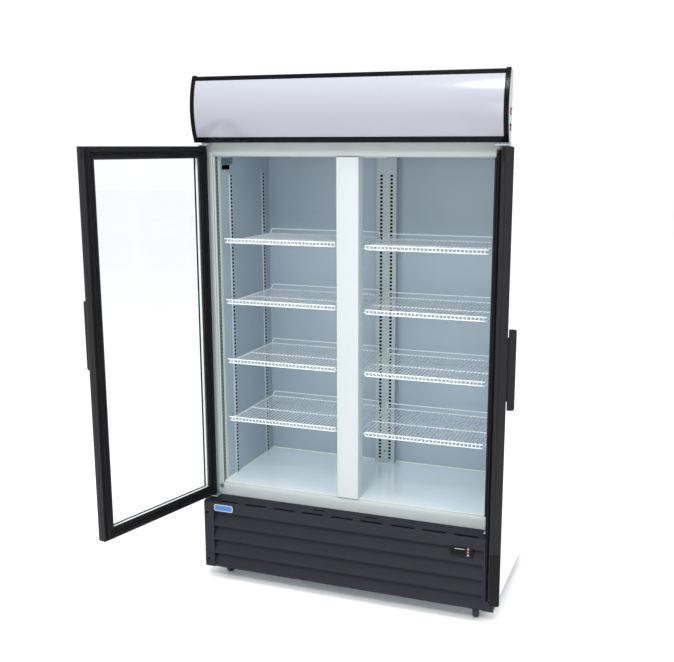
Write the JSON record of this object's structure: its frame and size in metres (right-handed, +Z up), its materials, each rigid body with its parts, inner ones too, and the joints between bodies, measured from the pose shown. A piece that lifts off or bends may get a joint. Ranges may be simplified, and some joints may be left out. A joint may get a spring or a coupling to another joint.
{
  "type": "glass door merchandiser",
  "caption": "Upright two-door glass front display refrigerator with wire shelves, an illuminated bowed sign on top, a louvred base and swivel casters.",
  "frame": {"origin": "on the floor under the wheels, at the middle of the cabinet width, in the plane of the front frame that the doors close on", "axes": "+X to the right of a person facing the doors, +Y from the doors to the back panel, +Z up"},
  "size_m": [1.5137, 1.1855, 2.019],
  "materials": {
    "white_paint": "satin",
    "foam": "matte",
    "liner_grey": "satin",
    "floor_steel": "satin",
    "frame_grey": "satin",
    "mullion_white": "satin",
    "lamp": "gloss",
    "aluminium_fins": "satin",
    "black_plastic": "satin",
    "sign_lens": "gloss",
    "silver_panel": "satin",
    "galvanised": "satin",
    "shelf_wire": "gloss",
    "charcoal": "satin",
    "compressor_black": "gloss",
    "caster_steel": "satin",
    "wheel_rubber": "matte",
    "button_white": "satin",
    "red_plastic": "gloss",
    "door_black": "satin",
    "door_glass": "polished",
    "gasket_black": "matte"
  },
  "bodies": {
    "cabinet": {"outer_casing": "white_paint", "foam_insulation": "foam", "interior_liner": "liner_grey", "floor_pan": "floor_steel", "front_frame": "frame_grey", "led_strip_left": "lamp", "led_strip_right": "lamp", "centre_mullion": "mullion_white", "rear_pillar": "liner_grey", "ceiling_panel": "white_paint", "evaporator": "aluminium_fins", "sign_frame": "black_plastic", "sign_lens": "sign_lens", "sign_housing": "silver_panel", "sign_lamp": "lamp", "switch_bezel": "black_plastic", "hinge_plate_top_left": "galvanised", "hinge_plate_bottom_left": "galvanised", "hinge_plate_top_right": "galvanised", "hinge_plate_bottom_right": "galvanised", "shelf_left_1": "shelf_wire", "shelf_left_2": "shelf_wire", "shelf_left_3": "shelf_wire", "shelf_left_4": "shelf_wire", "shelf_right_1": "shelf_wire", "shelf_right_2": "shelf_wire", "shelf_right_3": "shelf_wire", "shelf_right_4": "shelf_wire", "base_tray": "galvanised", "front_grille": "charcoal", "controller_housing": "black_plastic", "rear_grille": "galvanised", "power_inlet": "black_plastic", "compressor": "compressor_black", "condenser": "aluminium_fins"},
    "left_door": {"door_frame_left": "door_black", "outer_pane_left": "door_glass", "inner_pane_left": "door_glass", "door_gasket_left": "gasket_black", "door_handle_left": "door_black"},
    "right_door": {"door_frame_right": "door_black", "outer_pane_right": "door_glass", "inner_pane_right": "door_glass", "door_gasket_right": "gasket_black", "door_handle_right": "door_black"},
    "button_up": {"button_up": "button_white"},
    "button_set": {"button_set": "red_plastic"},
    "button_down": {"button_down": "button_white"},
    "rocker_sign_light": {"rocker_sign_light": "red_plastic"},
    "rocker_cabinet_light": {"rocker_cabinet_light": "red_plastic"},
    "evaporator_fan": {"evaporator_fan": "black_plastic"},
    "condenser_fan": {"condenser_fan": "black_plastic"},
    "caster_front_left": {"caster_fork_front_left": "caster_steel"},
    "wheel_front_left": {"caster_wheel_front_left": "wheel_rubber"},
    "caster_front_right": {"caster_fork_front_right": "caster_steel"},
    "wheel_front_right": {"caster_wheel_front_right": "wheel_rubber"},
    "caster_rear_left": {"caster_fork_rear_left": "caster_steel"},
    "wheel_rear_left": {"caster_wheel_rear_left": "wheel_rubber"},
    "caster_rear_right": {"caster_fork_rear_right": "caster_steel"},
    "wheel_rear_right": {"caster_wheel_rear_right": "wheel_rubber"}
  },
  "joints": [
    {"name": "left_door_hinge", "type": "hinge", "parent": "cabinet", "child": "left_door", "pos_m": [-0.586, -0.028, 0.35], "axis": [0, 0, 1], "range_deg": [-10, 104.3]},
    {"name": "right_door_hinge", "type": "hinge", "parent": "cabinet", "child": "right_door", "pos_m": [0.586, -0.028, 0.35], "axis": [0, 0, 1], "range_deg": [-101.9, 12.4]},
    {"name": "button_up_press", "type": "slide", "parent": "cabinet", "child": "button_up", "axis": [0, 1, 0], "range_m": [0, 0.0015], "stiffness_N_per_m": 400},
    {"name": "button_set_press", "type": "slide", "parent": "cabinet", "child": "button_set", "axis": [0, 1, 0], "range_m": [0, 0.0015], "stiffness_N_per_m": 400},
    {"name": "button_down_press", "type": "slide", "parent": "cabinet", "child": "button_down", "axis": [0, 1, 0], "range_m": [0, 0.0015], "stiffness_N_per_m": 400},
    {"name": "rocker_sign_light_tilt", "type": "hinge", "parent": "cabinet", "child": "rocker_sign_light", "pos_m": [0.599, -0.016, 1.876], "axis": [0, 1, 0], "range_deg": [-16, 0]},
    {"name": "rocker_cabinet_light_tilt", "type": "hinge", "parent": "cabinet", "child": "rocker_cabinet_light", "pos_m": [0.599, -0.016, 1.823], "axis": [0, 1, 0], "range_deg": [-16, 0]},
    {"name": "evaporator_fan_spin", "type": "hinge", "parent": "cabinet", "child": "evaporator_fan", "pos_m": [0, 0.19, 1.738], "axis": [0, 0, 1], "continuous": true},
    {"name": "condenser_fan_spin", "type": "hinge", "parent": "cabinet", "child": "condenser_fan", "pos_m": [-0.25, 0.064, 0.2], "axis": [0, 1, 0], "continuous": true},
    {"name": "swivel_front_left", "type": "hinge", "parent": "cabinet", "child": "caster_front_left", "pos_m": [-0.53, 0, 0.068], "axis": [0, 0, 1], "continuous": true},
    {"name": "roll_front_left", "type": "hinge", "parent": "caster_front_left", "child": "wheel_front_left", "pos_m": [-0.53, 0.018, 0.025], "axis": [1, 0, 0], "continuous": true},
    {"name": "swivel_front_right", "type": "hinge", "parent": "cabinet", "child": "caster_front_right", "pos_m": [0.53, 0, 0.068], "axis": [0, 0, 1], "continuous": true},
    {"name": "roll_front_right", "type": "hinge", "parent": "caster_front_right", "child": "wheel_front_right", "pos_m": [0.53, -0.018, 0.025], "axis": [1, 0, 0], "continuous": true},
    {"name": "swivel_rear_left", "type": "hinge", "parent": "cabinet", "child": "caster_rear_left", "pos_m": [-0.53, 0.505, 0.068], "axis": [0, 0, 1], "continuous": true},
    {"name": "roll_rear_left", "type": "hinge", "parent": "caster_rear_left", "child": "wheel_rear_left", "pos_m": [-0.53, 0.487, 0.025], "axis": [1, 0, 0], "continuous": true},
    {"name": "swivel_rear_right", "type": "hinge", "parent": "cabinet", "child": "caster_rear_right", "pos_m": [0.53, 0.505, 0.068], "axis": [0, 0, 1], "continuous": true},
    {"name": "roll_rear_right", "type": "hinge", "parent": "caster_rear_right", "child": "wheel_rear_right", "pos_m": [0.53, 0.487, 0.025], "axis": [1, 0, 0], "continuous": true}
  ]
}
